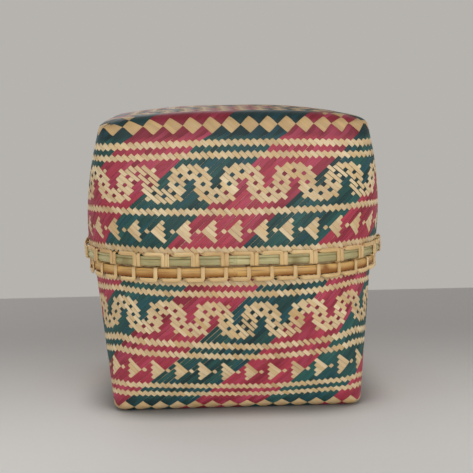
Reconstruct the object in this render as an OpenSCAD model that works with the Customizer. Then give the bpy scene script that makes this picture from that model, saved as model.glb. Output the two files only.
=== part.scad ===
// Woven bamboo box: a square-footed base with a rounder mouth, a matching lid that
// drops over the base's collar, and two hooped rims bound with split cane.
// Origin: centre of the underside. +Z up, +X right, -Y is the front. Millimetres.

/* [Base] */
// Height from the floor to the seam where the two rims meet
base_h = 103; // [80:1:140]
// Width of the base across its flat sides at the floor
foot_w = 174; // [150:1:190]
// Width of the base across its flat sides at the mouth
mouth_w = 199; // [192:1:240]
// Height of the collar that stands above the seam, inside the lid
collar_h = 34; // [15:1:45]

/* [Lid] */
// Height of the lid from the seam to the rim of its top panel
lid_h = 103; // [85:1:140]
// Width of the lid across its flat sides at the shoulder
lid_top_w = 183; // [160:1:198]
// Rise of the domed top panel above its rim
lid_dome = 2.5; // [1:0.5:20]
// Fall of the top panel from its level crest to its left and right sides
lid_arch = 5; // [0:0.5:7]
// Side play between the collar and the lid's inner lashing
lid_play = 0.8; // [0.4:0.1:3]

/* [Corners] */
// Corner radius of the base at the floor
foot_corner_r = 11; // [8:0.5:30]
// Corner radius of the lid at its shoulder
top_corner_r = 11; // [8:0.5:30]
// Corner radius of the base at its mouth
mouth_corner_r = 66; // [30:1:80]
// Corner radius of the lid's top panel, inside its shoulder
panel_corner_r = 22; // [12:1:40]
// Radius of the base's soft edge between the wall and the floor
edge_r = 6; // [4.5:0.5:12]
// Radius of the lid's fuller shoulder between the wall and the top panel
shoulder_r = 10; // [5:0.5:14]

/* [Woven layers] */
// Thickness of the patterned outer weave
weave_t = 1.2; // [0.8:0.1:1.6]
// Thickness of the plain lining basket
lining_t = 1.2; // [0.8:0.1:1.6]
// Space between two layers that lie on each other
layer_gap = 0.25; // [0.25:0.05:0.5]

/* [Rims] */
// Height of the base's hoops
base_hoop_h = 6.2; // [4:0.1:14]
// Thickness of the base's outer hoop, a split cane with a rounded face
base_hoop_t = 3; // [2:0.1:4]
// Height of the lid's broad outer hoop
lid_hoop_h = 4.2; // [3:0.1:12]
// Height of the thin hoop that lies on the lid's broad one
lid_thin_hoop_h = 1.8; // [1.5:0.1:4]
// Thickness of the lid's outer hoops
lid_hoop_t = 2; // [1.5:0.1:4]
// Thickness of the flat hoops inside both rims
inner_hoop_t = 1.4; // [1:0.1:3]
// Crown of the outer hoops' faces
hoop_crown = 0.9; // [0.3:0.1:1.2]

/* [Lashing] */
// Width of the split cane strand
lash_w = 2.8; // [2:0.1:3.2]
// Thickness of the split cane strand
lash_t = 0.8; // [0.5:0.1:1]
// Space between the strand and what it binds
lash_gap = 0.15; // [0.1:0.05:0.3]
// Stitches round the lid's rim, each of two turns
lid_stitches = 36; // [24:4:40]
// Stitches round the base's rim, each of one turn
base_stitches = 44; // [24:4:52]
// Space between the lid's rim and the base's rim
seam_gap = 0.3; // [0.3:0.1:1]

/* [Hidden] */
$fn = 96;

// Resolution of the lofted walls: steps round a corner, up a wall, round an edge, across the dome
corner_steps = 12;
wall_steps = 6;
edge_steps = 4;
dome_steps = 4;
// How the lid's wall leans in towards its shoulder: 1 is straight, 2 a parabola
lid_lean = 2;
// Share of the dome's radius that its last flat facet takes
dome_flat = 0.08;
// Half-width of the level crest of the lid's arched top, and steps along the arch's sides
crest_w = 12;
crest_steps = 4;
// The lining's strips fold inward at the collar's edge: height and thickness of that folded lip
lip_h = 5;
lip_t = 0.8;
// Least corner radius of a panel that lies inside a soft edge
least_corner_r = 1;

// Heights of the hoops on either side of the seam
lash_room = lash_t + 2 * lash_gap;
base_hoop_top = base_h - seam_gap / 2 - lash_room;
base_hoop_low = base_hoop_top - base_hoop_h;
lid_hoop_low = base_h + seam_gap / 2 + lash_room;
lid_thin_low = lid_hoop_low + lid_hoop_h + layer_gap;
lid_hoop_top = lid_thin_low + lid_thin_hoop_h;
lid_rim_h = lid_hoop_top - lid_hoop_low;
// The strand's run lies just clear of the hoops' edges away from the seam
base_run_z = base_hoop_low - lash_gap - lash_w / 2;
lid_run_z = lid_hoop_top + lash_gap + lash_w / 2;
// Space between two turns of one stitch, and the length in which the strand twists flat again
turn_gap = 0.5;
twist_l = 2.2;
// The walls stay upright behind the hoops and the run
base_upright = base_run_z - lash_w;
lid_upright = lid_run_z + lash_w;
shoulder_z = base_h + lid_h - shoulder_r;

// Insets of each layer's faces from the outer face of the weave
weave_in = weave_t;
lining_out = weave_in + layer_gap;
lining_in = lining_out + lining_t;
inner_hoop_out = lining_in + layer_gap;
inner_hoop_in = inner_hoop_out + inner_hoop_t;

// Half-widths of the mouths: the lid's follows from the collar that it drops over
base_mouth = mouth_w / 2;
collar_out = base_mouth - lining_out;
lid_mouth = collar_out + lid_play + lash_t + lash_gap + inner_hoop_in;
lid_mouth_corner_r = mouth_corner_r + lid_mouth - base_mouth;

function mix(a, b, t) = a + (b - a) * t;

// A closed ring of points: a square of half-width a with corners of radius r, at height z. Its front and
// back sides are cut into this many lengths.
function ring(a, r, z, cuts = 1) = [
    for (k = [0 : 3])
        let (side = [[1, 1], [-1, 1], [-1, -1], [1, -1]][k])
        each concat(
            [
                for (i = [0 : corner_steps])
                    let (turn = 90 * (k + i / corner_steps))
                    [side[0] * (a - r) + r * cos(turn), side[1] * (a - r) + r * sin(turn), z]
            ],
            k % 2 == 1 ? [] : [
                for (j = [1 : 1 : cuts - 1])
                    [side[0] * (a - r) * (1 - 2 * j / cuts), side[1] * a, z]
            ]
        )
];

// A ring of the lid, whose front and back can follow the arch of its top
function lid_ring(a, r, z) = ring(a, r, z, crest_steps);

// Rings of the base's wall at an inset from the outer face, from the underside up to the seam zone
function base_rings(inset) = concat(
    [
        for (i = [0 : edge_steps])
            let (turn = 90 * i / edge_steps, grow = (edge_r - inset) * sin(turn) - edge_r)
            ring(
                foot_w / 2 + grow,
                max(foot_corner_r + grow, least_corner_r),
                edge_r - (edge_r - inset) * cos(turn)
            )
    ],
    [
        for (i = [1 : wall_steps])
            let (t = i / wall_steps)
            ring(
                mix(foot_w / 2, base_mouth, t) - inset,
                mix(foot_corner_r, mouth_corner_r, t) - inset,
                mix(edge_r, base_upright, t)
            )
    ]
);

// A ring of the lid's top, lowered towards its left and right sides by a share of the arch
function arched(points, share) = [
    for (p = points)
        let (side = max(abs(p[0]) - crest_w, 0) / (lid_top_w / 2 - crest_w))
        [p[0], p[1], p[2] - lid_arch * share * side * side]
];

// Rings of the lid's wall at an inset, from the mouth up and over the shoulder
function lid_wall_rings(inset) = concat(
    [
        for (i = [0 : wall_steps])
            let (t = i / wall_steps)
            lid_ring(
                mix(lid_mouth, lid_top_w / 2, pow(t, lid_lean)) - inset,
                mix(lid_mouth_corner_r, top_corner_r, t) - inset,
                mix(lid_upright, shoulder_z, t)
            )
    ],
    [
        for (i = [1 : edge_steps])
            let (turn = 90 * i / edge_steps)
            arched(lid_ring(
                lid_top_w / 2 - shoulder_r + (shoulder_r - inset) * cos(turn),
                mix(top_corner_r, panel_corner_r, i / edge_steps) - inset * cos(turn),
                shoulder_z + (shoulder_r - inset) * sin(turn)
            ), sin(turn))
    ]
);

// Rings of the lid's domed top at an inset, from the shoulder's end to the middle
function lid_dome_rings(inset) = [
    for (i = [0 : dome_steps])
        let (share = mix(1, dome_flat, i / dome_steps))
        arched(lid_ring(
            (lid_top_w / 2 - shoulder_r) * share,
            panel_corner_r * share,
            shoulder_z + shoulder_r - inset + lid_dome * (1 - share * share)
        ), 1)
];

// One closed skin through a list of rings. Its ends are flat caps, or join each other where it is a loop.
module skin(rings, flip, loop = false) {
    count = len(rings[0]);
    last = len(rings) - 1;
    low_cap = [for (i = [0 : count - 1]) i];
    high_cap = [for (i = [count - 1 : -1 : 0]) last * count + i];
    walls = [
        for (k = [0 : loop ? last : last - 1], i = [0 : count - 1])
            let (j = (i + 1) % count, low = k * count, high = (k + 1) % (last + 1) * count)
            each [[low + i, high + i, high + j], [low + i, high + j, low + j]]
    ];
    faces = concat(loop ? [] : [low_cap, high_cap], walls);
    turned = [for (f = faces) [for (i = [len(f) - 1 : -1 : 0]) f[i]]];
    polyhedron(points = [for (r = rings) each r], faces = flip ? turned : faces, convexity = 6);
}

function reversed(list) = [for (i = [len(list) - 1 : -1 : 0]) list[i]];

// A list without its first item, which the list before it already ends with
function rest(list) = [for (i = [1 : len(list) - 1]) list[i]];

// Arc length along a rounded square from the middle of its +X side, as [x, y, outward angle]
function rim_place(a, r, at) =
    let (
        flat = a - r,
        quarter = 2 * flat + r * PI / 2,
        turns = floor((at + flat) / quarter),
        rest = at + flat - turns * quarter,
        bend = min(max(rest - 2 * flat, 0) / r * 180 / PI, 90),
        x = flat + r * cos(bend),
        y = min(rest, 2 * flat) - flat + r * sin(bend),
        c = cos(90 * turns),
        s = sin(90 * turns)
    )
    [x * c - y * s, x * s + y * c, bend + 90 * turns];

function rim_length(a, r) = 8 * (a - r) + 2 * PI * r;

// One cross-section of the strand: at is along the rim, out is outward, z is up, and wide and thick
// are its two half-axes in that same local frame
function strand_ring(a, r, at, out, z, wide, thick) =
    let (
        place = rim_place(a, r, at),
        along = [-sin(place[2]), cos(place[2]), 0],
        outward = [cos(place[2]), sin(place[2]), 0],
        up = [0, 0, 1],
        centre = [place[0], place[1], 0] + outward * out + up * z,
        w = (along * wide[0] + outward * wide[1] + up * wide[2]) * lash_w / 2,
        t = (along * thick[0] + outward * thick[1] + up * thick[2]) * lash_t / 2
    )
    [centre + w + t, centre - w + t, centre - w - t, centre + w - t];

// Sections of one stitch. down is -1 where the mouth lies below the run and 1 where it lies above.
// The strand runs along the rim, turns over the hoops, round the mouth's edge, up behind the inner
// hoop and out through the wall, once for each turn.
function stitch(a, r, at, pitch, run_z, mouth_z, out, inside, down, turns) =
    let (step = lash_w + turn_gap, leaves = at + turns * step + twist_l)
    concat(
        [strand_ring(a, r, (at + leaves - pitch) / 2, out, run_z, [0, 0, 1], [0, 1, 0])],
        [strand_ring(a, r, at, out, run_z, [-down, 0, 1], [0, 1, 0])],
        [
            for (k = [0 : turns - 1]) each concat(
                k == 0 ? [] : [strand_ring(a, r, at + k * step, out, run_z, [-down, 0, 0], [0, 1, -down])],
                [
                    strand_ring(a, r, at + k * step, out, mouth_z, [-down, 0, 0], [0, 1, down]),
                    strand_ring(a, r, at + k * step, inside, mouth_z, [-down, 0, 0], [0, -1, down]),
                    strand_ring(a, r, at + (k + 0.5) * step, inside, run_z, [-down, 0, 0], [0, -1, -down])
                ]
            )
        ],
        [
            strand_ring(a, r, at + turns * step, 0, run_z, [-down, 0, 0], [0, 0, -down]),
            strand_ring(a, r, leaves, out, run_z, [0, 0, 1], [0, 1, 0])
        ]
    );

// All the sections of a rim's lashing, stitch after stitch, as one unbroken strand
function lashing(a, r, stitches, run_z, mouth_z, out, inside, down, turns) =
    let (pitch = rim_length(a, r) / stitches)
    [
        for (k = [0 : stitches - 1])
            each stitch(a, r, (k + 0.5) * pitch, pitch, run_z, mouth_z, out, inside, down, turns)
    ];

base_strand = lashing(
    base_mouth, mouth_corner_r, base_stitches, base_run_z, base_hoop_top + lash_gap + lash_t / 2,
    layer_gap + base_hoop_t + lash_gap + lash_t / 2, -inner_hoop_in - lash_gap - lash_t / 2, 1, 1
);
lid_strand = lashing(
    lid_mouth, lid_mouth_corner_r, lid_stitches, lid_run_z, lid_hoop_low - lash_gap - lash_t / 2,
    layer_gap + lid_hoop_t + lash_gap + lash_t / 2, -inner_hoop_in - lash_gap - lash_t / 2, -1, 2
);

// Least distance between a strand's own points in two stitches, neighbouring sections left out
function least_gap(strand, sections) = min([
    for (i = [0 : sections - 1], j = [i + 2 : 2 * sections - 1], p = strand[i], q = strand[j]) norm(p - q)
]);
echo(
    base_lashing_least_gap = least_gap(base_strand, len(base_strand) / base_stitches),
    lid_lashing_least_gap = least_gap(lid_strand, len(lid_strand) / lid_stitches)
);

// A hoop round a mouth: the profile's x is the distance outward from the wall, its y the height
module hoop(a, r) {
    for (k = [0 : 3]) rotate([0, 0, 90 * k]) {
        translate([a, a - r, 0]) rotate([90, 0, 0]) linear_extrude(2 * (a - r)) children();
        translate([a - r, a - r, 0]) rotate_extrude(angle = 90) translate([r, 0]) children();
    }
}

// Profile of a split cane: flat at the back, crowned on the face
module cane_profile(thick, high) {
    crown = min(hoop_crown, high / 2);
    crown_r = (high * high / 4 + crown * crown) / (2 * crown);
    square([thick - crown, high]);
    intersection() {
        square([thick, high]);
        translate([thick - crown_r, high / 2]) circle(crown_r);
    }
}

module base_outer_weave() {
    top_out = ring(base_mouth, mouth_corner_r, base_hoop_top);
    top_in = ring(base_mouth - weave_in, mouth_corner_r - weave_in, base_hoop_top);
    color("indianred")
        skin(concat(base_rings(0), [top_out, top_in], reversed(base_rings(weave_in))), false);
}

module base_lining_wall() {
    collar_top = base_h + collar_h;
    lip_in = lining_in + lip_t;
    color("burlywood")
        skin(concat(
            base_rings(lining_out),
            [
                ring(base_mouth - lining_out, mouth_corner_r - lining_out, collar_top),
                ring(base_mouth - lining_in, mouth_corner_r - lining_in, collar_top),
                ring(base_mouth - lip_in, mouth_corner_r - lip_in, collar_top - lip_t),
                ring(base_mouth - lip_in, mouth_corner_r - lip_in, collar_top - lip_h),
                ring(base_mouth - lining_in, mouth_corner_r - lining_in, collar_top - lip_h - lip_t)
            ],
            reversed(base_rings(lining_in))
        ), false, loop = true);
}

// The lining's floor lies inside the soft edge that its wall ends in
module base_lining_floor() {
    color("burlywood") skin([base_rings(lining_out)[0], base_rings(lining_in)[0]], false);
}

module base_outer_hoop() {
    color("peru")
        translate([0, 0, base_hoop_low])
            hoop(base_mouth, mouth_corner_r)
                translate([layer_gap, 0]) cane_profile(base_hoop_t, base_hoop_h);
}

module base_inner_hoop() {
    color("tan")
        translate([0, 0, base_hoop_low])
            hoop(base_mouth, mouth_corner_r)
                translate([-inner_hoop_in, 0]) square([inner_hoop_t, base_hoop_h]);
}

module base_lashing() {
    color("wheat") skin(base_strand, false);
}

module lid_outer_weave() {
    mouth_out = lid_ring(lid_mouth, lid_mouth_corner_r, lid_hoop_low);
    mouth_in = lid_ring(lid_mouth - weave_in, lid_mouth_corner_r - weave_in, lid_hoop_low);
    color("palevioletred")
        skin(concat(
            reversed(lid_dome_rings(0)), rest(reversed(lid_wall_rings(0))), [mouth_out, mouth_in],
            lid_wall_rings(weave_in), rest(lid_dome_rings(weave_in))
        ), true);
}

module lid_lining_wall() {
    mouth_out = lid_ring(lid_mouth - lining_out, lid_mouth_corner_r - lining_out, lid_hoop_low);
    mouth_in = lid_ring(lid_mouth - lining_in, lid_mouth_corner_r - lining_in, lid_hoop_low);
    color("burlywood")
        skin(concat(
            reversed(lid_wall_rings(lining_out)), [mouth_out, mouth_in], lid_wall_rings(lining_in)
        ), true, loop = true);
}

// The lining's top lies inside the shoulder that its wall ends in
module lid_lining_top() {
    color("burlywood")
        skin(concat(reversed(lid_dome_rings(lining_out)), lid_dome_rings(lining_in)), true);
}

module lid_broad_hoop() {
    color("darkkhaki")
        translate([0, 0, lid_hoop_low])
            hoop(lid_mouth, lid_mouth_corner_r)
                translate([layer_gap, 0]) cane_profile(lid_hoop_t, lid_hoop_h);
}

module lid_thin_hoop() {
    color("khaki")
        translate([0, 0, lid_thin_low])
            hoop(lid_mouth, lid_mouth_corner_r)
                translate([layer_gap, 0]) cane_profile(lid_hoop_t, lid_thin_hoop_h);
}

module lid_inner_hoop() {
    color("tan")
        translate([0, 0, lid_hoop_low])
            hoop(lid_mouth, lid_mouth_corner_r)
                translate([-inner_hoop_in, 0]) square([inner_hoop_t, lid_rim_h]);
}

module lid_lashing() {
    color("wheat") skin(lid_strand, false);
}

base_outer_weave();
base_lining_wall();
base_lining_floor();
base_outer_hoop();
base_inner_hoop();
base_lashing();
lid_outer_weave();
lid_lining_wall();
lid_lining_top();
lid_broad_hoop();
lid_thin_hoop();
lid_inner_hoop();
lid_lashing();
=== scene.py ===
# %% [markdown]
# # A woven bamboo box
# The box is plaited from split bamboo: a square-footed base, a lid that drops over the base's collar,
# and two rims of bent hoops bound with cane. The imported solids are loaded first, as a fixed frame.
# Every piece below is made in that frame, so it sits where the solid that it stands for sits, and
# nothing has to be fitted afterwards. The box's sizes are written in millimetres, and become metres when
# its meshes are made.

# %% The frame
import math
from dataclasses import dataclass

import bpy
import numpy as np
from mathutils import Matrix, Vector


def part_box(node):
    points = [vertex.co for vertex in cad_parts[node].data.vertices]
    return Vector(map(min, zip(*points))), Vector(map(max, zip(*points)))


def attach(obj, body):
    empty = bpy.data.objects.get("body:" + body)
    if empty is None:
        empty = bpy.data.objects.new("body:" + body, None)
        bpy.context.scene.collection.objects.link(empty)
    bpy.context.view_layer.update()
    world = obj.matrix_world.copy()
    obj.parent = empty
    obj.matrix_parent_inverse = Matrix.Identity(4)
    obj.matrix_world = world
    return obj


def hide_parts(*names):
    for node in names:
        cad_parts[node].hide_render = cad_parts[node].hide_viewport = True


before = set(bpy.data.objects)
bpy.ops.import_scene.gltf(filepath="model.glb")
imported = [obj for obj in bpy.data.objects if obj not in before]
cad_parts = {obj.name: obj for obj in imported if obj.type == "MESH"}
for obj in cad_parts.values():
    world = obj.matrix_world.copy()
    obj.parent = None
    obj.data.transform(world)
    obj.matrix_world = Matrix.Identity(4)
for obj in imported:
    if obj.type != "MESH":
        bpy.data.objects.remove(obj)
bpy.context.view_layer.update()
MM = 0.001


def box_mm(node):
    """Lowest and highest corner of a solid, in millimetres."""
    return [np.array(corner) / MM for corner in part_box(node)]


print("solids in the frame:", ", ".join(sorted(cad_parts)))

# %% [markdown]
# ## The camera
# A picture taken from about a metre away shows the front nearly square on, with a little of the top.
# The camera could be placed by eye, but the box's own outline tells more: its shoulders, rims and foot
# fix the eye's place, the tilt and the focal length. The focal length is kept in pixels of the square
# picture, and becomes a lens through the width of the sensor.

# %% Camera
PICTURE_SIDE = 473
FOCAL_PIXELS = 1204
EYE = np.array([-34.85, -901.7, 226.2])
YAW = math.radians(2.48)
PITCH = math.radians(-7.36)
ROLL = math.radians(-0.93)

forward = np.array([math.sin(YAW) * math.cos(PITCH), math.cos(YAW) * math.cos(PITCH), math.sin(PITCH)])
level = np.array([math.cos(YAW), -math.sin(YAW), 0.0])
upright = np.cross(level, forward)
right = level * math.cos(ROLL) + upright * math.sin(ROLL)
top = upright * math.cos(ROLL) - level * math.sin(ROLL)

lens = bpy.data.cameras.new("camera")
lens.sensor_width = 36.0
lens.lens = FOCAL_PIXELS / PICTURE_SIDE * lens.sensor_width
camera = bpy.data.objects.new("camera", lens)
bpy.context.scene.collection.objects.link(camera)
camera.rotation_mode = "QUATERNION"
turn = np.column_stack([right, top, -forward])
camera.matrix_world = Matrix([[*turn[i], EYE[i] * MM] for i in range(3)] + [[0, 0, 0, 1]])
bpy.context.scene.camera = camera
print("lens", round(lens.lens, 1), "mm")

# %% [markdown]
# ## Shader sums
# A finish is mostly arithmetic on a few values: how far along a strip, how far across it, how pale it
# is. Nodes could be added one by one, but sums read better as sums, so one small class wraps a socket
# and turns Python's operators into Math nodes. Every other node comes from its one method, which sets
# the node up first and then feeds its sockets.

# %% Shader values
class Value:
    """A socket of a node tree that takes part in Python sums."""

    def __init__(self, tree, socket=None):
        self.tree = tree
        self.socket = socket

    def node(self, kind, settings, inputs, output=0):
        """Add a node of this kind, set it up, feed its sockets, and hand back one of its outputs."""
        made = self.tree.nodes.new(kind)
        for name, setting in settings.items():
            setattr(made, name, setting)
        for key, value in inputs.items():
            if isinstance(value, Value):
                self.tree.links.new(value.socket, made.inputs[key])
            else:
                made.inputs[key].default_value = value
        return Value(self.tree, made.outputs[output])

    def output(self, name):
        """Another output of the node that this value comes from."""
        return Value(self.tree, self.socket.node.outputs[name])

    def into(self, socket):
        """Feed a shader's socket."""
        self.tree.links.new(self.socket, socket)

    def math(self, operation, first, second):
        return self.node("ShaderNodeMath", {"operation": operation}, {0: first, 1: second})

    def __add__(self, other):
        return self.math("ADD", self, other)

    def __sub__(self, other):
        return self.math("SUBTRACT", self, other)

    def __rsub__(self, other):
        return self.math("SUBTRACT", other, self)

    def __mul__(self, other):
        return self.math("MULTIPLY", self, other)

    __radd__ = __add__
    __rmul__ = __mul__

    def between(self, low, high):
        """0 below low, 1 above high, and a soft step between them."""
        ends = {"Value": self, "From Min": low, "From Max": high}
        return self.node("ShaderNodeMapRange", {"interpolation_type": "SMOOTHSTEP"}, ends)

    def blend(self, first, second):
        """The first colour where this value is 0, the second where it is 1."""
        return self.node("ShaderNodeMix", {"data_type": "RGBA"}, {0: self, 6: first, 7: second}, 2)

    def noise(self, along, across, number, detail):
        """Noise in a strip's own directions, so that it follows the fibres."""
        where = self.node("ShaderNodeCombineXYZ", {}, {0: along, 1: across, 2: number})
        return self.node("ShaderNodeTexNoise", {}, {"Vector": where, "Scale": 1.0, "Detail": detail})


def paint(red, green, blue):
    """A colour as it is seen on a screen, from 0 to 255, as the linear colour that a shader takes."""
    shares = [c / 255 for c in (red, green, blue)]
    linear = [s / 12.92 if s < 0.0404 else ((s + 0.055) / 1.055) ** 2.4 for s in shares]
    return (*linear, 1.0)


print("white paint is", paint(255, 255, 255))

# %% [markdown]
# ## Split bamboo
# All of the box is one plant: split stems, peeled to strips, some of them dyed before plaiting. What
# the eye reads is the fibre that runs along each strip, the strip's own shade, and blotches where dye
# or sun took unevenly. A picture could be laid on, but a formula in the strip's own directions has no
# seams and no end. Each mesh therefore carries two attributes: fibre, which holds how far along and
# across its strip a point is and the strip's number, and tone, which holds how pale the strip is. In
# places tone also carries painted light and shade: painted shade on the whole strips by the panels and
# on sunken single crossings, and painted light and shade on the amber hoop's top and foot.

# %% Bamboo finish
FIBRE_LENGTH = 0.035
BLOTCH_LENGTH = 0.05
BLOTCH_WIDTH = 0.12
BLOTCH_SHADE = 0.7
STAIN_LENGTH = 0.03
STAIN_DRIFT = 0.41
STAIN = 0.5
STAINED = (0.48, 0.7)
STREAKED = (0.5, 0.72)
FIBRE_APART = 7.31
BLOTCH_APART = 3.17
STAIN_APART = 5.83
NOISE_MIDDLE = 0.5
GLOSS_CHANGE = 0.3
FIBRE_RELIEF = 0.25
FIBRE_HEIGHT = 0.1 * MM
SHINE = 0.4


def bamboo(name, deep, pale, tint, fibre_colour, fibres=2.6, streak=0.5, gloss=0.5):
    """Bamboo between a deep and a pale shade, with tinted lengths.

    fibres is the number of streaks in a millimetre across the strip. The noises of two strips lie apart by
    the values that end in APART.
    """
    material = bpy.data.materials.new(name)
    material.use_nodes = True
    tree = material.node_tree
    shader = tree.nodes["Principled BSDF"]
    strip = Value(tree).node("ShaderNodeAttribute", {"attribute_name": "fibre"}, {}, "Vector")
    tone = Value(tree).node("ShaderNodeAttribute", {"attribute_name": "tone"}, {}, "Fac")
    along = strip.node("ShaderNodeSeparateXYZ", {}, {0: strip})
    across = along.output("Y")
    number = along.output("Z")
    fine = tone.noise(along * FIBRE_LENGTH, across * fibres, number * FIBRE_APART, 3.0)
    blotch = tone.noise(along * BLOTCH_LENGTH, across * BLOTCH_WIDTH, number * BLOTCH_APART, 2.0)
    shade = (tone + (blotch - NOISE_MIDDLE) * BLOTCH_SHADE).between(0.0, 1.0)
    stain = tone.noise(along * STAIN_LENGTH, number * STAIN_DRIFT, number * STAIN_APART, 1.0)
    dyed = (stain.between(*STAINED) * STAIN).blend(shade.blend(deep, pale), tint)
    colour = (fine.between(*STREAKED) * streak).blend(dyed, fibre_colour)
    colour.into(shader.inputs["Base Color"])
    (gloss + (fine - NOISE_MIDDLE) * GLOSS_CHANGE).into(shader.inputs["Roughness"])
    relief = {"Strength": FIBRE_RELIEF, "Distance": FIBRE_HEIGHT, "Height": fine}
    fine.node("ShaderNodeBump", {}, relief).into(shader.inputs["Normal"])
    shader.inputs["Specular IOR Level"].default_value = SHINE
    return material


FINISHES = {
    "rose": bamboo("rose_dyed_bamboo", paint(124, 30, 46), paint(186, 62, 82), paint(190, 74, 102),
                   paint(110, 26, 42)),
    "teal": bamboo("teal_dyed_bamboo", paint(16, 44, 46), paint(42, 95, 88), paint(26, 83, 97),
                   paint(13, 35, 38)),
    "natural": bamboo("natural_bamboo", paint(186, 154, 108), paint(231, 210, 170), paint(212, 176, 118),
                      paint(170, 136, 92)),
    "lining": bamboo("lining_bamboo", paint(182, 146, 98), paint(222, 196, 150), paint(206, 170, 112),
                     paint(150, 112, 70)),
    "olive": bamboo("olive_bamboo_skin", paint(142, 128, 82), paint(204, 197, 146), paint(212, 198, 142),
                    paint(112, 95, 62), fibres=1.6, streak=0.7, gloss=0.4),
    "amber": bamboo("amber_cane", paint(146, 92, 40), paint(222, 180, 108), paint(222, 178, 104),
                    paint(112, 68, 30), fibres=1.6, streak=0.7, gloss=0.4),
    "cane": bamboo("lashing_cane", paint(190, 150, 96), paint(230, 200, 146), paint(216, 178, 116),
                   paint(146, 104, 60), fibres=1.8, gloss=0.42),
}
print("finishes:", ", ".join(FINISHES))

# %% [markdown]
# ## A mesh of strands
# Strips, hoops and lashing are all the same kind of thing: a section carried along a path, closed at
# its ends or joined into a ring. Curves with a bevel could make them, but then the section can't
# change along the way and the fibre attributes are lost. Each strand is therefore a grid of points,
# steps by corners. One function turns a list of them into a piece: it turns faces outward, keeps the
# strip's edges sharp, and lays every strand out flat in its own cell of the map that takes its colours.

# %% Strands to pieces
EDGE_ANGLE = math.radians(50)
ROW_FILL = 0.86
COLUMN_FILL = 0.96
CAP_SIZE = (0.008, 0.2)
CAP_PLACE = (0.985, 0.25)
CAP_STEP = 0.42


def strand(points, along, across, tone, looped=False):
    """points is steps x corners x 3. along has a value a step, across one a corner, and tone either."""
    return {"points": points, "along": along, "across": across, "tone": tone, "looped": looped}


def strand_faces(points, looped):
    """Four-sided faces round and along a strand, and its two end caps, all facing outward."""
    steps, corners = points.shape[:2]
    index = np.arange(steps * corners).reshape(steps, corners)
    here = index if looped else index[:-1]
    there = np.roll(index, -1, axis=0)[: len(here)]
    around = np.stack([here, np.roll(here, -1, axis=1), np.roll(there, -1, axis=1), there], axis=-1)
    around = around.reshape(-1, 4)
    caps = [] if looped else [index[0][::-1], index[-1]]
    flat = points.reshape(-1, 3) - points.reshape(-1, 3).mean(axis=0)
    a, b, c, d = (flat[around[:, k]] for k in range(4))
    volume = np.einsum("ij,ij->", a, np.cross(b, c) + np.cross(c, d))
    return around, caps, volume < 0


def map_cells(strands):
    """Columns and rows of the flat map, in which each strand has a cell of its own."""
    girth = np.mean([np.linalg.norm(np.diff(s["points"][0], axis=0), axis=1).sum() for s in strands])
    longest = max(np.linalg.norm(np.diff(s["points"][:, 0], axis=0), axis=1).sum() for s in strands)
    columns = max(1, round(math.sqrt(len(strands) * girth / longest)))
    rows = math.ceil(len(strands) / columns)
    return columns, rows


def strand_map(points, looped, cell):
    """Flat places of the corners of a strand's faces and caps, inside its own cell (u, v, width, height)."""
    steps, corners = points.shape[:2]
    ring = np.vstack([points[0], points[0][:1]])
    round_share = np.concatenate([[0], np.cumsum(np.linalg.norm(np.diff(ring, axis=0), axis=1))])
    v = cell[1] + round_share / round_share[-1] * cell[3] * ROW_FILL
    spans = steps if looped else steps - 1
    u = cell[0] + np.arange(spans + 1) / spans * cell[2] * COLUMN_FILL
    low_u, low_v = np.meshgrid(u[:-1], v[:-1], indexing="ij")
    high_u, high_v = np.meshgrid(u[1:], v[1:], indexing="ij")
    around = np.stack([low_u, low_v, low_u, high_v, high_u, high_v, high_u, low_v], axis=-1).reshape(-1, 2)
    if looped:
        return around
    turn_angle = np.arange(corners) * 2 * math.pi / corners
    spot = np.stack([np.cos(turn_angle), np.sin(turn_angle)], axis=-1)
    spot = spot * [cell[2] * CAP_SIZE[0], cell[3] * CAP_SIZE[1]]
    middle = np.array([cell[0] + cell[2] * CAP_PLACE[0], cell[1] + cell[3] * CAP_PLACE[1]])
    return np.vstack([around, middle + spot, middle + [0, cell[3] * CAP_STEP] + spot])


def make_piece(name, strands, finish, body, slot, *nodes):
    """One mesh of all these strands, with its finish, riding on its body in place of the solids."""
    columns, rows = map_cells(strands)
    points, faces, places, fibre, tone = [], [], [], [], []
    start = 0
    for number, one in enumerate(strands):
        grid = one["points"]
        steps, corners = grid.shape[:2]
        around, caps, inside_out = strand_faces(grid, one["looped"])
        cell = (number % columns / columns, number // columns / rows, 1 / columns, 1 / rows)
        flat = strand_map(grid, one["looped"], cell)
        count = len(around) * 4
        sides = (around + start).tolist() + [(cap + start).tolist() for cap in caps]
        spots = list(flat[:count].reshape(-1, 4, 2)) + list(flat[count:].reshape(len(caps), corners, 2))
        faces += [side[::-1] for side in sides] if inside_out else sides
        places += [spot[::-1] for spot in spots] if inside_out else spots
        points.append(grid.reshape(-1, 3))
        along = np.repeat(one["along"], corners)
        across = np.broadcast_to(one["across"], (steps, corners)).ravel()
        fibre.append(np.column_stack([along, across, np.full(steps * corners, number + 1.0)]))
        tone.append(np.broadcast_to(np.reshape(one["tone"], (steps, -1)), (steps, corners)).ravel())
        start += steps * corners
    mesh = bpy.data.meshes.new(name)
    mesh.from_pydata((np.vstack(points) * MM).tolist(), [], faces)
    fibre_values = mesh.attributes.new("fibre", "FLOAT_VECTOR", "POINT").data
    fibre_values.foreach_set("vector", np.vstack(fibre).ravel())
    tone_values = mesh.attributes.new("tone", "FLOAT", "POINT").data
    tone_values.foreach_set("value", np.concatenate(tone))
    mesh.uv_layers.new(name="OFBake").data.foreach_set("uv", np.vstack(places).ravel())
    mesh.shade_smooth()
    mesh.set_sharp_from_angle(angle=EDGE_ANGLE)
    mesh.materials.append(FINISHES[finish])
    piece = bpy.data.objects.new(name, mesh)
    bpy.context.scene.collection.objects.link(piece)
    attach(piece, body)
    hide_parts(*nodes)
    print(name, len(strands), "strands,", len(mesh.polygons), "faces")


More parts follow.
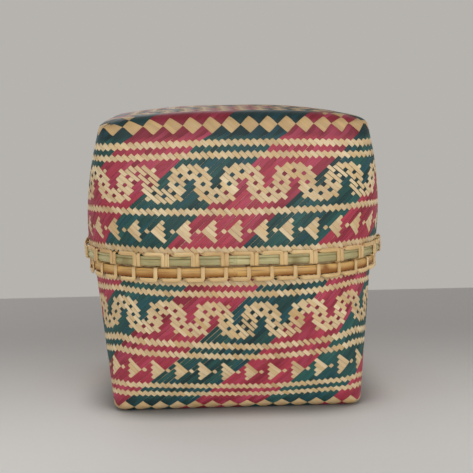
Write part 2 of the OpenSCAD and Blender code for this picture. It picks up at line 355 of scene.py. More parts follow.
# %% [markdown]
# ## The shape of the two halves
# Both halves are squares that grow rounder towards the mouth, as a plaited mat does when its flat
# bottom is turned up into walls. A half is described by its profile: the half-width and the corner
# radius at every row of the plaiting, from the mouth over the wall and round the soft edge to the
# middle of the panel. The heights and mouths come from the frame, and the other sizes repeat the
# values that drive the solids.

# %% Rounded squares and profiles
SEAM = 103.0
FOOT_EDGE = 6.0
SHOULDER_EDGE = 10.0
FOOT_HALF = 87.0
TOP_HALF = 91.5
END_CORNER_R = 11.0
TOP_PANEL_R = 22.0
BASE_MOUTH_R = 66.0
SHOULDER = SEAM + 103.0 - SHOULDER_EDGE
DOME = 2.5
ARCH = 5.0
CREST = 12.0
LASH_W = 2.8
LASH_T = 0.8

STRIPS_ROUND = 168
SIDE = STRIPS_ROUND // 4
WIDE = 3
PANEL = SIDE / WIDE / 2
LIFT_CURVE = 1.5
SLIP_EASE = 2
LID_FOLD_ARC = 1.1
BASE_FOLD_ARC = 3.1


def on_square(half, radius, quarters, out=0.0):
    """Place on a rounded square, in quarter turns from the middle of the front side, going right."""
    radius = np.maximum(radius, 1e-4)
    flat = np.maximum(half - radius, 0)
    side = np.floor(quarters + 0.5)
    along = (quarters - side) * (2 * flat + radius * math.pi / 2)
    bend = np.clip((np.abs(along) - flat) / radius, 0, math.pi / 4)
    x = np.sign(along) * (np.minimum(np.abs(along), flat) + (radius + out) * np.sin(bend))
    y = -flat - (radius + out) * np.cos(bend)
    c, s = np.cos(side * math.pi / 2), np.sin(side * math.pi / 2)
    return x * c - y * s, x * s + y * c


@dataclass
class Half:
    """The surface of the lid or the base, addressed by place round it and by row of its plaiting.

    outward is 1 where the panel lies above the wall and -1 where it lies below. The wall leans from
    upright, at the mouth's half-width and corner radius, to turn, at the end's. The panel rises by dome
    in its middle and falls by arch to its left and right sides. fold is the row from which strips are
    counted on the panel, fold_arc how far round the soft edge it lies, and slip how many fine strips the
    wide ones lie off the corners. heights are the heights of rows on the wall where they lie level, at
    the place sag between the corners -1 and 1. At the corners, a row of the heights lift_at runs higher
    by lift. whole_painted_shade is painted shade: how much darker the whole strips by the panel are painted
    than the split ones.
    """

    outward: int
    mouth: float
    mouth_r: float
    upright: float
    lean: float
    end: float
    turn: float
    edge: float
    panel_r: float
    dome: float
    arch: float
    fold: float
    fold_arc: float
    slip: float
    sag: float
    rows: tuple
    heights: tuple
    lift_at: tuple
    lift: tuple
    whole_painted_shade: float

    def depth(self, row):
        """How many wide strips a row lies past the fold."""
        return self.outward * (self.fold - row) / (2 * WIDE)

    def climb(self, row, corner):
        """Height of a row on the wall. corner goes from -1 to 1 along a side."""
        level = np.interp(row, self.rows, self.heights)
        left_far = (self.sag - corner) / (1 + self.sag)
        right_far = (corner - self.sag) / (1 - self.sag)
        far = np.where(corner < self.sag, left_far, right_far)
        return level + far**LIFT_CURVE * np.interp(level, self.lift_at, self.lift)

    def profile(self, climb, depth, inset):
        """Half-width, corner radius, height and fall towards the sides of the surface at an inset."""
        share = np.clip((climb - self.upright) / (self.turn - self.upright), 0, 1)
        quarter_arc = self.edge * math.pi / 2
        rim = self.end - self.edge
        reach = np.clip(depth, 0, PANEL) / PANEL * (quarter_arc - self.fold_arc + rim)
        arc = np.where(depth > 0, self.fold_arc + reach, self.outward * (climb - self.turn))
        bend = np.clip(arc / self.edge, 0, math.pi / 2)
        inner = np.clip(1 - (arc - quarter_arc) / rim, 0, 1)
        on_wall, on_panel = arc <= 0, inner < 1
        wall = self.mouth + (self.end - self.mouth) * share**self.lean - inset
        wall_r = self.mouth_r + (END_CORNER_R - self.mouth_r) * share - inset
        soft = rim + (self.edge - inset) * np.cos(bend)
        soft_r = END_CORNER_R + (self.panel_r - END_CORNER_R) * bend / (math.pi / 2) - inset * np.cos(bend)
        rise = (self.edge - inset) * np.sin(bend) + self.dome * (1 - inner**2)
        half = np.where(on_wall, wall, np.where(on_panel, rim * inner, soft))
        radius = np.where(on_wall, wall_r, np.where(on_panel, self.panel_r * inner, soft_r))
        height = np.where(on_wall, climb, self.turn + self.outward * rise)
        return half, np.minimum(radius, half), height, self.arch * np.sin(bend)

    def point(self, place, row, quarter, inset):
        """A point of the surface at an inset. On the panel the place is counted within one quarter."""
        depth = self.depth(row)
        local = (place - SIDE * quarter) / WIDE
        reach = np.maximum(PANEL - np.maximum(depth, 0), 1e-6)
        corner = np.where(depth > 0, np.clip(local / reach, -1, 1), (local / PANEL + 1) % 2 - 1)
        eased = corner**2 + (1 - corner**2) * np.clip(depth / SLIP_EASE, 0, 1)
        local = local - self.slip / WIDE * eased * np.clip(1 + depth / SLIP_EASE, 0, 1)
        past = (depth > 0) & (np.abs(local) > reach)
        size = np.where(past, np.abs(local), reach)
        turned = np.where(past, np.sign(local) * (1 - reach / size / 2), local / size / 2)
        depth = np.where(past, PANEL - size, depth)
        half, radius, height, fall = self.profile(self.climb(row, corner), depth, inset)
        x, y = on_square(half, radius, quarter + turned)
        side = np.maximum(np.abs(x) - CREST, 0) / (TOP_HALF - CREST)
        return np.stack([x, y, height - fall * side**2], axis=-1)

    def rim_point(self, quarters, out, height):
        """A point at the mouth, a distance outward of the wall."""
        x, y = on_square(self.mouth, self.mouth_r, quarters, out)
        return np.stack(np.broadcast_arrays(x, y, height), axis=-1)

    def rim_quarter(self):
        """Length of a quarter of the mouth."""
        return 2 * (self.mouth - self.mouth_r) + self.mouth_r * math.pi / 2


base_mouth = box_mm("base_outer_weave")[1][0]
lid_mouth = box_mm("lid_outer_weave")[1][0]
base_run_low = box_mm("base_lashing")[0][2]
lid_run_high = box_mm("lid_lashing")[1][2]
LID = Half(
    outward=1,
    mouth=lid_mouth,
    mouth_r=BASE_MOUTH_R + lid_mouth - base_mouth,
    upright=lid_run_high + LASH_W / 2,
    lean=2,
    end=TOP_HALF,
    turn=SHOULDER,
    edge=SHOULDER_EDGE,
    panel_r=TOP_PANEL_R,
    dome=DOME,
    arch=ARCH,
    fold=-17,
    fold_arc=LID_FOLD_ARC,
    slip=1,
    sag=0,
    rows=(-17, -14, -10.5, 0, 31),
    heights=(SHOULDER + LID_FOLD_ARC, 191.5, 187.5, 166.2, 104.7),
    lift_at=(105, 125, 140, 166, 185, 196),
    lift=(0.5, 1.7, 2.2, -0.4, -2.2, 0),
    whole_painted_shade=0.45,
)
BASE = Half(
    outward=-1,
    mouth=base_mouth,
    mouth_r=BASE_MOUTH_R,
    upright=base_run_low - LASH_W / 2,
    lean=1,
    end=FOOT_HALF,
    turn=FOOT_EDGE,
    edge=FOOT_EDGE,
    panel_r=END_CORNER_R - FOOT_EDGE,
    dome=0,
    arch=0,
    fold=40,
    fold_arc=BASE_FOLD_ARC,
    slip=0,
    sag=0.2,
    rows=(-40, -14, 3, 12.5, 16.5, 23, 29.5, 33.5, 37, 40),
    heights=(152.6, 97.5, 63.5, 44.8, 37.4, 26.4, 16.0, 10.6, 6.2, FOOT_EDGE - BASE_FOLD_ARC),
    lift_at=(3, 10, 26, 50, 77, 103),
    lift=(0, 3.3, 5.5, 8.5, 4.5, 1.0),
    whole_painted_shade=0.2,
)
print("mouths", LID.mouth, BASE.mouth, "mm half-width")

# %% [markdown]
# ## The draft of the pattern
# A weaver follows a draft: for each crossing it says which of the two strips lies on top. Here the
# strips that climb to the right are dyed and the ones that climb to the left are natural, so the draft
# is also the picture. It could be drawn as a grid of squares, but the real one is a set of short
# rules repeated round the box: lines two rows high, a band of linked waves with dots inside them,
# and a row of triangles with a dot before each tip. Near the panel the strips are still whole,
# three times as wide, in plain weave. Only on the lid's shoulder do the dyed ones pass over three at a
# time, which gives it a dark band. Under the rims the weave is a plain twill, over two and under two.

# %% Drafts
WAVE_LENGTH = 8
TRIANGLE_LENGTH = 4
TWILL = 4
LID_FIRST_WHOLE = (-1, 1)
LID_WHOLE_ROW = -14
LID_RIM_ROW = 28
SHOULDER_FLOAT = -7
FLOAT_REACH = 15
BASE_FIRST_WHOLE = (2.5, 1.5)
BASE_WHOLE_ROW = 37
BASE_RIM_ROW = -12
WAVE_DOTS = ((0, 0), (1.5, 0.5), (-1.5, 0.5), (2, 2), (-2, 2), (2.5, 3.5), (-2.5, 3.5), (4, 4), (-4, 4))


def wave_is_natural(place, row, hump):
    """The linked waves, from row -2 to row 10. hump is the place of one hump's middle."""
    x = (place - hump + WAVE_LENGTH / 2) % WAVE_LENGTH - WAVE_LENGTH / 2
    y = row / 2
    natural = np.zeros(np.shape(x), bool)
    dots = np.zeros(np.shape(x), bool)
    for dot_x, dot_y in WAVE_DOTS:
        far = np.maximum(np.abs(x - dot_x), np.abs(y - dot_y))
        natural |= far <= 1
        dots |= far == 0
    under_hump = (np.abs(x) <= 0.5) & (y >= 1.5)
    over_hollow = (np.abs(np.abs(x) - WAVE_LENGTH / 2) <= 0.5) & (y <= 2.5)
    return natural & ~dots & ~under_hump & ~over_hollow


def triangle_is_natural(place, row, dot, middle, pointing):
    """Triangles four strips high with a dot before the tip. pointing is 1 to the right, -1 to the left."""
    behind = (-pointing * (place - dot) - 1) % TRIANGLE_LENGTH
    high = np.abs(row - middle) / 2
    body = (behind <= 1.5) & (high <= behind)
    return body | ((behind == TRIANGLE_LENGTH - 1) & (high == 0))


def in_rows(row, *starts):
    """True in the lines, each two rows high, that start at these rows."""
    return np.any([(row == start) | (row == start + 1) for start in starts], axis=0)


def whole_crossing(dyed, natural, first):
    """Number of the crossing of whole strips. In plain weave the dyed one is on top at the even ones."""
    return np.floor((dyed - first[0]) / WIDE) - np.floor((natural - first[1]) / WIDE)


def lid_draft(dyed, natural):
    """True where the dyed strip lies on top, for the numbers of the two strips that cross."""
    row, place = dyed - natural, (dyed + natural) / 2
    crossing = whole_crossing(dyed, natural, LID_FIRST_WHOLE)
    along_side = (place + SIDE / 2) % SIDE - SIDE / 2
    whole = (crossing % 2 == 0) | (crossing == SHOULDER_FLOAT) & (np.abs(along_side) < FLOAT_REACH)
    lines = in_rows(row, -10, -6, 13, 26)
    waves = (row >= -2) & (row <= 10) & wave_is_natural(place, row, 1)
    triangles = (row >= 17) & (row <= 23) & triangle_is_natural(place, row, 2, 20, -1)
    split = np.where(row < LID_RIM_ROW, ~(lines | waves | triangles), row % TWILL < 2)
    return np.where(row <= LID_WHOLE_ROW, whole, split)


def base_draft(dyed, natural):
    """The same for the base, whose rows are counted from its own band of waves."""
    row, place = dyed - natural, (dyed + natural) / 2
    whole = whole_crossing(dyed, natural, BASE_FIRST_WHOLE) % 2 == 0
    lines = in_rows(row, -11, -7, 12, 16, 29, 33)
    waves = (row >= -3) & (row <= 9) & wave_is_natural(place, row + 1, 4)
    triangles = (row >= 20) & (row <= 26) & triangle_is_natural(place, row, 0, 23, 1)
    split = np.where(row > BASE_RIM_ROW, ~(lines | waves | triangles), row % TWILL < 2)
    return np.where(row >= BASE_WHOLE_ROW, whole, split)


numbers = np.arange(24)
print("dyed on top in row 0 of the lid:", int(lid_draft(numbers, numbers).sum()), "of 24")

# %% [markdown]
# ## The woven strips
# On the real box every strip runs from the mouth down or up a wall, over the soft edge and across the
# panel, going over and under as it meets the others. A flat picture of the weave on a smooth wall
# would look right only from the front, so each strip is made as a strip: a thin closed ribbon with one
# step at each crossing, raised where the draft says it is on top. A strip that comes up for a single
# crossing stays lower, and a dyed one is painted darker there, as painted shade. The whole strips by
# the panels are painted a little darker than the split ones, as painted shade. Hand work is never quite
# even, so the widths, paths and shades vary a little, with a fixed seed, and in a few places natural
# strips have drawn apart. Where a dyed strip would turn into the next wall's natural one, on a panel's
# diagonal, it ends under the strip that it passes there.

# %% Strip maker
WEAVE_MID = 0.6
WEAVE_LIFT = 0.3
STRIP_T = 0.4
STRIP_CROWN = 0.1
STRIP_PITCH = 2.9
SINGLE_SINK = 0.2
# Painted shade: how much darker a dyed strip is painted where it sinks at a single crossing.
SINGLE_PAINTED_SHADE = 0.8
HALF_PITCH = 0.5
WHOLE_EDGE = 0.475
STRIP_FILL = 0.482
FILL_SPREAD = 0.017
FILL_DRIFT = 0.012
FILL_LEAST = 0.42
PATH_DRIFT = 0.03
MIDDLE_TONE = 0.55
DYED_SPREAD = 0.09
NATURAL_SPREAD = 0.07
TONE_DRIFT = 0.05
LOOSE_GAP = 0.1
LOOSE_STRIPS = 2.2
LOOSE_ROWS = 7.0
HAND = np.random.default_rng(7)


def strip_rows(half, dyed, number, first_row, step):
    """Rows of a strip's steps from the mouth to its hidden end, its quarter, and how many steps show."""
    at_fold = number + (-0.5 if dyed else 0.5) * half.fold - half.slip
    quarter = math.floor(at_fold / SIDE + 0.5)
    middle = math.floor((at_fold - SIDE * quarter) / WIDE) + 0.5
    heading = 1 if dyed == (half.outward > 0) else -1
    last = (PANEL - 0.5 - heading * middle) / 2
    on_top_at_end = (last == int(last)) != dyed
    end = last + (0.5 if on_top_at_end else 0)
    wall = abs(half.fold - first_row)
    count = round((wall + end * 2 * WIDE) / step) + 1
    shown = round((wall + last * 2 * WIDE + 1.5) / step) + 1
    return first_row - half.outward * step * np.arange(count), quarter, shown


def smooth_noise(count, every, size):
    """A slow random wander along a strip, one value a step."""
    knots = HAND.normal(0, size, count // every + 3)
    return np.interp(np.arange(count) / every, np.arange(len(knots)), knots)


def looseness(places, number, rows):
    """How far a strip has drawn in along its rows, from 0 to 1. Each loose place is a strip and a row."""
    loose = np.zeros(len(rows))
    for strip, row in places:
        aside = (number - strip + STRIPS_ROUND / 2) % STRIPS_ROUND - STRIPS_ROUND / 2
        near = np.exp(-((aside / LOOSE_STRIPS) ** 4) - ((rows - row) / LOOSE_ROWS) ** 4)
        loose = np.maximum(loose, near)
    return loose


def ribbon(half, dyed, number, rows, quarter, inset, left, right_side, crown, group, tone):
    """A closed strip with a section of five corners at each step. left and right_side are its edges."""
    slope, lean = (-0.5, 1) if dyed else (0.5, -1)
    low, high = -STRIP_T / 2, STRIP_T / 2
    middle = (left + right_side) / 2
    face = ((left, high - crown), (middle, high), (right_side, high - crown))
    corners = (*face, (right_side, low), (left, low))
    grid, across = [], []
    for wide, lift in corners:
        row = rows + lean * wide
        row[0] = rows[0]
        grid.append(half.point(number + wide + slope * row, row, quarter, inset - lift))
        across.append((group + wide) * STRIP_PITCH)
    return strand(np.stack(grid, axis=1), rows * STRIP_PITCH, np.stack(across, axis=1), tone)


def woven_strips(half, dyed, draft, first_row, offset, first_whole, fine_rows, loose):
    """All the strips of one direction, three to a whole strip, as ribbons by the order of making."""
    made = {}
    spread = DYED_SPREAD if dyed else NATURAL_SPREAD
    for turn_number in range(STRIPS_ROUND):
        number = turn_number + offset
        group = int((number - first_whole) % WIDE)
        if group == 0 or not made:
            whole_tone = HAND.normal(MIDDLE_TONE, spread)
        rows, quarter, shown = strip_rows(half, dyed, number, first_row, 1)
        count = len(rows)
        same = np.full(count, number)
        top = draft(same, number - rows) if dyed else ~draft(number + rows, same)
        top = top & (np.arange(count) < shown)
        single = top & ~np.roll(top, 1) & ~np.roll(top, -1)
        fine = np.clip(half.outward * (rows - fine_rows) / 2, 0, 1)
        wander = smooth_noise(count, 6, PATH_DRIFT) * fine
        fill = HAND.normal(STRIP_FILL, FILL_SPREAD) + smooth_noise(count, 9, FILL_DRIFT)
        fill = np.clip(fill, FILL_LEAST, HALF_PITCH) - LOOSE_GAP * looseness(loose, number, rows)
        whole_left = WHOLE_EDGE if group == 0 else HALF_PITCH
        whole_right = WHOLE_EDGE if group == WIDE - 1 else HALF_PITCH
        left = wander - fill * fine - (1 - fine) * whole_left
        right_side = wander + fill * fine + (1 - fine) * whole_right
        tone = np.clip(whole_tone + fine * HAND.normal(0, spread), 0, 1)
        # whole_painted_shade paints shade on the whole strips by the panel.
        tone = tone + smooth_noise(count, 12, TONE_DRIFT) - half.whole_painted_shade * (1 - fine)
        # Painted shade on a dyed strip's sunken single crossings.
        if dyed:
            tone = tone - SINGLE_PAINTED_SHADE * single * fine
        inset = WEAVE_MID - np.where(top, WEAVE_LIFT, -WEAVE_LIFT) + SINGLE_SINK * single
        made[turn_number] = ribbon(
            half, dyed, number, rows, quarter, inset, left, right_side, STRIP_CROWN * fine, group - 1, tone
        )
    return made


# %% Lid and base strips
DYE_REPEAT = 24
DYE_STRIPS = 12
LID_FIRST_ROW = 30
BASE_FIRST_ROW = -14
LID_LOOSE = ((-15, 4), (15.5, 5), (38, 6), (63, 14), (97, 2), (128, 18))
BASE_LOOSE = ((-0.5, 5), (6, 11), (33, 2), (60, 14), (88, 22), (121, 4))


def by_dye(strips, offset, start):
    """The strips sorted into rose and teal, twelve of each in turn."""
    rose = [s for n, s in strips.items() if (n + offset - start) % DYE_REPEAT < DYE_STRIPS]
    teal = [s for n, s in strips.items() if (n + offset - start) % DYE_REPEAT >= DYE_STRIPS]
    return rose, teal


def weave_half(name, half, draft, first_row, offset, first_whole, fine_rows, dye_start, loose):
    """The three pieces of a half's patterned weave: rose, teal and natural strips."""
    node = name + "_outer_weave"
    dyed = woven_strips(half, True, draft, first_row, offset, first_whole[0], fine_rows, ())
    natural = woven_strips(half, False, draft, first_row, offset, first_whole[1], fine_rows, loose)
    rose, teal = by_dye(dyed, offset, dye_start)
    make_piece(name + "_rose_strips", rose, "rose", name, "outer_weave", node)
    make_piece(name + "_teal_strips", teal, "teal", name, "outer_weave", node)
    make_piece(name + "_natural_strips", list(natural.values()), "natural", name, "outer_weave", node)


weave_half("lid", LID, lid_draft, LID_FIRST_ROW, offset=0, first_whole=LID_FIRST_WHOLE, fine_rows=-13.5,
           dye_start=2, loose=LID_LOOSE)
weave_half("base", BASE, base_draft, BASE_FIRST_ROW, offset=0.5, first_whole=BASE_FIRST_WHOLE, fine_rows=37,
           dye_start=11, loose=BASE_LOOSE)

# %% [markdown]
# ## The plain linings
# Inside the patterned weave sits a second basket of wide undyed strips. It stiffens the wall, and the
# base's one stands up past the seam as the collar that the lid drops over. It could be a plain sheet,
# but it is seen whenever the lid is off, so its strips are made in the same way as the outer ones, in
# plain weave, over one and under one. At the collar's edge they are folded inward to a smooth lip.

# %% Linings
LINING_MID = 2.05
LINING_LIFT = 0.3
LINING_EDGE = 1.44
LINING_STEP = 1.5
LINING_SPREAD = 0.15
LINING_TONE_DRIFT = 0.06
LINING_EDGE_DRIFT = 0.02
LID_LINING_ROW = 31
BASE_LINING_ROW = -31.5
COLLAR_TOP = box_mm("base_lining_wall")[1][2]
LIP_SECTION = (
    (-1.5, -0.8), (-1.6, -0.1), (-2.0, 0.0), (-2.7, 0.0), (-3.35, -0.5), (-3.45, -1.2), (-3.45, -4.8),
    (-3.1, -5.6), (-2.75, -5.8), (-2.75, -1.0), (-1.5, -1.0),
)
RING_STEPS = 240


def lining_strips(half, first_row):
    """Both directions of a lining's wide strips."""
    made = []
    for dyed in (True, False):
        first = WIDE / 2 + half.slip + (0.5 if dyed else -0.5) * half.fold
        for k in range(STRIPS_ROUND // WIDE):
            number = first + WIDE * k
            rows, quarter, shown = strip_rows(half, dyed, number, first_row, LINING_STEP)
            on_top = np.cos(2 * math.pi * half.depth(rows)) * (-1 if dyed else 1)
            on_top = np.where(np.arange(len(rows)) < shown, on_top, -1)
            edge = LINING_EDGE + smooth_noise(len(rows), 9, LINING_EDGE_DRIFT)
            tone = HAND.normal(MIDDLE_TONE, LINING_SPREAD) + smooth_noise(len(rows), 6, LINING_TONE_DRIFT)
            inset = LINING_MID - LINING_LIFT * on_top
            made.append(ribbon(half, dyed, number, rows, quarter, inset, -edge, edge, 0.0, 0, tone))
    return made


def ring(half, section, tone, wander):
    """A closed strand round the mouth. The section is a list of places outward of the wall and heights."""
    quarters = np.arange(RING_STEPS) * 4 / RING_STEPS
    section = np.array(section)
    grid = [half.rim_point(quarters, out + wander, height) for out, height in section]
    across = np.concatenate([[0], np.cumsum(np.linalg.norm(np.diff(section, axis=0), axis=1))])
    return strand(np.stack(grid, axis=1), quarters * half.rim_quarter(), across, tone, True)


make_piece("lid_lining_strips", lining_strips(LID, LID_LINING_ROW), "lining", "lid", "lining",
           "lid_lining_wall", "lid_lining_top")
make_piece("base_lining_strips", lining_strips(BASE, BASE_LINING_ROW), "lining", "base", "lining",
           "base_lining_wall", "base_lining_floor")
lip = ring(BASE, [(out, COLLAR_TOP + height) for out, height in LIP_SECTION], np.full(RING_STEPS, 0.5), 0.0)
make_piece("collar_lip", [lip], "lining", "base", "lining", "base_lining_wall")

# %% [markdown]
# ## The hoops
# The mouths are held in shape by bent hoops: split bamboo with its skin outward, a broad and a thin one
# on the lid and one thick amber cane on the base, and a flat hoop inside each rim. A swept circle would
# do, but bamboo shows where it grew: each hoop wanders a little, is rounded at its face, and has joints
# where it swells and darkens. Its sizes are read from the solid that it stands for.

# %% Hoops
HOOP_GAP = 0.25
HOOP_WANDER = 0.04
WANDER_WAVES = 7
HOOP_TONE = 0.5
HOOP_SHADE = 0.12
SHADE_WAVES = 5
FACE_CORNERS = 9
INNER_HOOP_T = 1.4
JOINT_SWELL = 0.1
JOINT_WIDTH = 0.012
JOINT_SHADE = 0.6


def hoop(node, body, half, finish, slot, face, back, crown, joints, painted_light_and_shade=0.0):
    """A hoop between its face and its back, outward of the wall, with joints at these quarters.

    It is painted paler by fade at its top, as painted light, and darker by it at its foot, as painted shade.
    """
    low, high = box_mm(node)[0][2], box_mm(node)[1][2]
    share = np.linspace(-1, 1, FACE_CORNERS)
    rounding = math.copysign(crown, face - back) * share**2
    front = np.column_stack([face - rounding, (low + high) / 2 + share * (high - low) / 2])
    section = np.vstack([front, [(back, high), (back, low)]])
    quarters = np.arange(RING_STEPS) * 4 / RING_STEPS
    angle = quarters * math.pi / 2
    near = sum(np.exp(-(((quarters - q + 2) % 4 - 2) / JOINT_WIDTH) ** 2) for q in joints)
    wander = HOOP_WANDER * np.sin(angle * WANDER_WAVES) + JOINT_SWELL * near
    shade = HOOP_TONE + HOOP_SHADE * np.sin(angle * SHADE_WAVES + 1) - JOINT_SHADE * near
    # fade paints light on the hoop's top and shade on its foot.
    tone = shade[:, None] + painted_light_and_shade * np.array([*share, 1, -1])
    make_piece(node + "_cane", [ring(half, section, tone, wander)], finish, body, slot, node)


lid_face = box_mm("lid_broad_hoop")[1][0] - LID.mouth
base_face = box_mm("base_outer_hoop")[1][0] - BASE.mouth
lid_inside = box_mm("lid_inner_hoop")[1][0] - LID.mouth
base_inside = box_mm("base_inner_hoop")[1][0] - BASE.mouth
hoop("lid_broad_hoop", "lid", LID, "olive", "olive_hoop", lid_face, HOOP_GAP, crown=0.9,
     joints=(-0.43, 0.22, 1.3, 2.4, 3.1))
hoop("lid_thin_hoop", "lid", LID, "olive", "olive_hoop", lid_face, HOOP_GAP, crown=0.4,
     joints=(-0.2, 0.9, 2.1))
# The amber hoop is painted lighter at its top and darker at its foot, as painted light and shade.
hoop("base_outer_hoop", "base", BASE, "amber", "amber_hoop", base_face, HOOP_GAP, crown=0.9,
     joints=(0.35, 1.6, 2.8), painted_light_and_shade=0.45)
hoop("lid_inner_hoop", "lid", LID, "lining", "inner_hoop", lid_inside - INNER_HOOP_T, lid_inside, crown=0.2,
     joints=(0.6, 2.5))
hoop("base_inner_hoop", "base", BASE, "lining", "inner_hoop", base_inside - INNER_HOOP_T, base_inside,
     crown=0.2, joints=(1.1,))

# %% [markdown]
# ## The lashing
# One long strand of split cane binds each rim. It runs along the edge of the hoops, turns across them,
# goes over the mouth, comes back through the wall and runs on to the next stitch: twice round at each
# stitch on the lid, once on the base. Separate loops would be easier, but the run between the stitches
# shows in front. So the strand is one closed path through key places, with rounded corners, and its
# width turns with it.

# %% Lashings
TURN_GAP = 0.05
TWIST = 2.2
CORNER_ROUND = 1.0
INSIDE = -4.85
STRAND_SECTION = (
    (-1.4, -0.15), (-1.15, -0.4), (1.15, -0.4), (1.4, -0.15),
    (1.4, 0.15), (1.15, 0.4), (-1.15, 0.4), (-1.4, 0.15),
)
CORNER_SHARE = 0.45
STRAND_SHADE = 0.12


def stitch_keys(at, pitch, turns, down, out, run, mouth):
    """Places of one stitch: along the rim, outward, height, then the direction of the strand's width."""
    step = LASH_W + TURN_GAP
    leaves = at + turns * step + TWIST
    keys = [((at + leaves - pitch) / 2, out, run, 0, 0, 1), (at, out, run, -down, 0, 1)]
    for k in range(turns):
        here = at + k * step
        if k > 0:
            keys.append((here, out, run, -down, 0, 0))
        keys.append((here, out, mouth, -down, 0, 0))
        keys.append((here, INSIDE, mouth, -down, 0, 0))
        keys.append((here + step / 2, INSIDE, run, -down, 0, 0))
    return keys + [(at + turns * step, 0, run, -down, 0, 0), (leaves, out, run, 0, 0, 1)]


def rounded(keys, length):
    """The closed path through the keys, with three points at each rounded corner."""
    whole = np.array([length, 0, 0, 0, 0, 0])
    before = np.vstack([keys[-1:] - whole, keys[:-1]])
    after = np.vstack([keys[1:], keys[:1] + whole])
    ends = []
    for other in (before, after):
        far = np.linalg.norm(other[:, :3] - keys[:, :3], axis=1)
        share = np.minimum(CORNER_ROUND / far, CORNER_SHARE)
        ends.append(keys + (other - keys) * share[:, None])
    middle = (ends[0] + 2 * keys + ends[1]) / 4
    return np.stack([ends[0], middle, ends[1]], axis=1).reshape(-1, 6)


def unit(vectors):
    """The vectors, each with a length of 1."""
    return vectors / np.linalg.norm(vectors, axis=1, keepdims=True)


def lashing(body, half, stitches, turns, down, out, run, mouth):
    """The whole strand of one rim."""
    length = 4 * half.rim_quarter()
    pitch = length / stitches
    keys = [stitch_keys((k + 0.5) * pitch, pitch, turns, down, out, run, mouth) for k in range(stitches)]
    path = rounded(np.array(keys, float).reshape(-1, 6), length)
    quarters = 1 + path[:, 0] / half.rim_quarter()
    points = half.rim_point(quarters, path[:, 1], path[:, 2])
    outward = half.rim_point(quarters, path[:, 1] + 1, path[:, 2]) - points
    along = np.cross([0, 0, 1], outward)
    wide = path[:, 3:4] * along + path[:, 5:6] * np.array([0, 0, 1])
    tangent = unit(np.roll(points, -1, axis=0) - np.roll(points, 1, axis=0))
    thick = unit(np.cross(tangent, wide))
    wide = np.cross(thick, tangent)
    grid = np.stack([points + w * wide + t * thick for w, t in STRAND_SECTION], axis=1)
    run_length = np.cumsum(np.linalg.norm(np.diff(points, axis=0, prepend=points[-1:]), axis=1))
    tone = MIDDLE_TONE + smooth_noise(len(points), 40, STRAND_SHADE)
    across = np.array([w for w, t in STRAND_SECTION])
    cane = strand(grid, run_length, across, tone, True)
    make_piece(body + "_lashing_strand", [cane], "cane", body, "lashing_cane", body + "_lashing")
    print("that strand is", round(run_length[-1] * MM, 2), "m long")


lid_low, lid_high = box_mm("lid_lashing")
base_low, base_high = box_mm("base_lashing")
lashing("lid", LID, stitches=36, turns=2, down=-1, out=lid_high[0] - LID.mouth - LASH_T / 2,
        run=lid_high[2] - LASH_W / 2, mouth=lid_low[2] + LASH_T / 2)
lashing("base", BASE, stitches=44, turns=1, down=1, out=base_high[0] - BASE.mouth - LASH_T / 2,
        run=base_low[2] + LASH_W / 2, mouth=base_high[2] - LASH_T / 2)

# %% [markdown]
# ## Floor and light
# The box stands on a plain pale table in soft light from all round, as in a bright room. Lamps alone
# would leave the sides that face away from them dark, so most of the light is a sky, bright at the
# height of the box and dim overhead, and two weak lamps, one in front and one behind, bring out the
# strips. The rays that only show the sky see a pale wall, and the ones that show the table see it a
# little paler than it is lit. The table's colour and that glow are painted darker away from the eye,
# as a painted falloff of the light, and painted darker close to the box, where ambient occlusion finds
# it sheltered, as a painted contact shadow. It ends a little behind the box.

# %% Table
TABLE_HALF = 6.0
TABLE_BACK = 0.373
TABLE_FADE = (-0.21, 0.2)
SHADOW_REACH = 0.04
SHADOW_FADE = (0.4, 0.95)


def looked_at(tree):
    """1 on the rays that show the table or the sky, and 0 on the ones that carry its light to the box."""
    rays = Value(tree).node("ShaderNodeLightPath", {}, {}, "Is Camera Ray")
    return rays + rays.output("Is Glossy Ray") + rays.output("Is Transmission Ray")


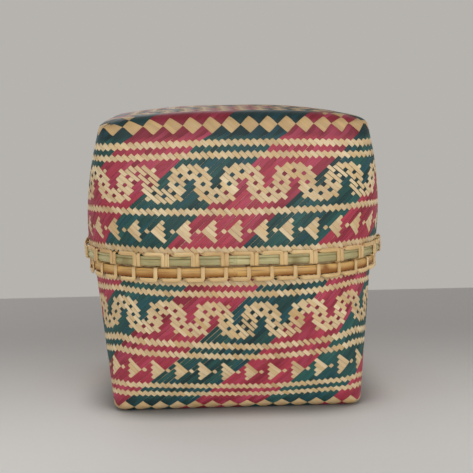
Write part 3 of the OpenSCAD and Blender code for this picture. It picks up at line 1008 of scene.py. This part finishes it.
floor_mesh = bpy.data.meshes.new("floor")
corners = [(-TABLE_HALF, -TABLE_HALF, 0), (TABLE_HALF, -TABLE_HALF, 0),
           (TABLE_HALF, TABLE_BACK, 0), (-TABLE_HALF, TABLE_BACK, 0)]
floor_mesh.from_pydata(corners, [], [(0, 1, 2, 3)])
floor = bpy.data.objects.new("floor", floor_mesh)
bpy.context.scene.collection.objects.link(floor)
pale = bpy.data.materials.new("pale_floor")
pale.use_nodes = True
shader = pale.node_tree.nodes["Principled BSDF"]
where = Value(pale.node_tree).node("ShaderNodeNewGeometry", {}, {}, "Position")
away = where.node("ShaderNodeSeparateXYZ", {}, {0: where}, "Y").between(*TABLE_FADE)
# Painted falloff of the light: the table's colour grows darker away from the eye.
table = away.blend(paint(229, 226, 222), paint(174, 170, 167))
# Painted contact shadow: the colour close to the box, darker at the front than at the back.
painted_contact_shadow = away.blend(paint(90, 87, 84), paint(214, 211, 207))
# The glow that the eye sees is painted darker away from it as well, as painted falloff.
glow = away.blend(paint(90, 90, 89), paint(30, 29, 28))
shelter = away.node("ShaderNodeAmbientOcclusion", {}, {"Distance": SHADOW_REACH}, "AO")
open_to_sky = shelter.between(*SHADOW_FADE)
open_to_sky.blend(painted_contact_shadow, table).into(shader.inputs["Base Color"])
# The glow is also held back close to the box, as part of the painted contact shadow.
seen = looked_at(pale.node_tree) * open_to_sky
seen.blend((0, 0, 0, 1), glow).into(shader.inputs["Emission Color"])
shader.inputs["Emission Strength"].default_value = 1.0
shader.inputs["Roughness"].default_value = 0.8
floor_mesh.materials.append(pale)
print("the table ends", TABLE_BACK, "m behind the middle of the box")

# %% Lamps and sky
BOX_MIDDLE = np.array([0, 0, 0.1])
LAMP_SIZE = 1.2
SKY_FADE = (0.0, 0.9)


def area_lamp(name, place, power):
    """A square lamp that faces the box and isn't seen itself."""
    lamp = bpy.data.lights.new(name, "AREA")
    lamp.size = LAMP_SIZE
    lamp.energy = power
    made = bpy.data.objects.new(name, lamp)
    bpy.context.scene.collection.objects.link(made)
    made.visible_camera = False
    made.location = place
    back = np.array(place) - BOX_MIDDLE
    tilt = math.acos(back[2] / np.linalg.norm(back))
    made.rotation_euler = (tilt, 0, math.atan2(back[1], back[0]) + math.pi / 2)


area_lamp("key", (0.3, -1.5, 0.6), 6.5)
area_lamp("back", (-0.5, 1.4, 0.7), 4.5)

world = bpy.data.worlds.new("sky")
world.use_nodes = True
bpy.context.scene.world = world
sky = world.node_tree.nodes["Background"]
way = Value(world.node_tree).node("ShaderNodeTexCoord", {}, {}, "Generated")
overhead = way.node("ShaderNodeSeparateXYZ", {}, {0: way}, "Z").between(*SKY_FADE)
light = overhead.blend((1.6, 1.6, 1.6, 1), (0.1, 0.1, 0.1, 1))
looked_at(world.node_tree).blend(light, paint(182, 179, 174)).into(sky.inputs["Color"])
bpy.context.scene.view_settings.view_transform = "Standard"
